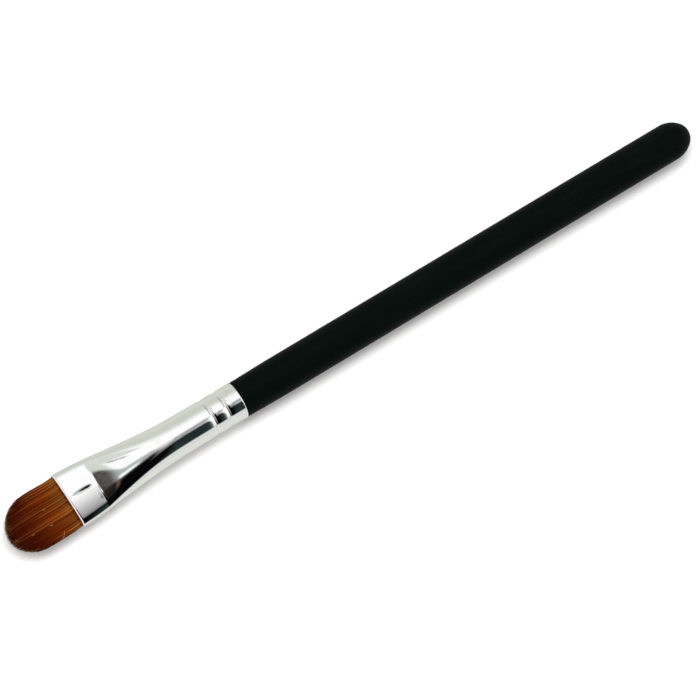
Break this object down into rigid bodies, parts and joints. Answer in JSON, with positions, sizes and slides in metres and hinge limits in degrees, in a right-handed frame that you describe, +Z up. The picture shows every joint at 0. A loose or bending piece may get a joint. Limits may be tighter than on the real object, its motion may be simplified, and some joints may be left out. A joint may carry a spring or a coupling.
{
  "type": "eyeshadow brush",
  "caption": "Slim eyeshadow brush with a rounded flat tuft of bending hair, a plated ferrule pressed from round to flat, and a straight black handle with a domed end.",
  "frame": {"origin": "middle of the brush's length, on the surface it lies on", "axes": "+X along the brush towards the end of the handle, the hair towards -X; +Y across the flat of the ferrule; +Z up"},
  "size_m": [0.1655, 0.012, 0.008],
  "materials": {
    "wood": "sanded birch",
    "lacquer": "satin black lacquer",
    "plated_metal": "bright plated",
    "glue": "set wood glue",
    "hair": "red-brown natural hair",
    "thread": "cotton thread",
    "resin": "set resin"
  },
  "bodies": {
    "brush": {"handle_core": "wood", "handle_lacquer": "lacquer", "ferrule": "plated_metal", "handle_glue": "glue", "hair_root": "hair", "binding_thread": "thread", "root_resin": "resin"},
    "tuft": {"hair_tuft": "hair"}
  },
  "joints": [
    {"name": "tuft_flex", "type": "hinge", "parent": "brush", "child": "tuft", "pos_m": [-0.07135, 0, 0.004], "axis": [0, 1, 0], "range_deg": [-18, 18], "stiffness_Nm_per_rad": 0.004}
  ]
}
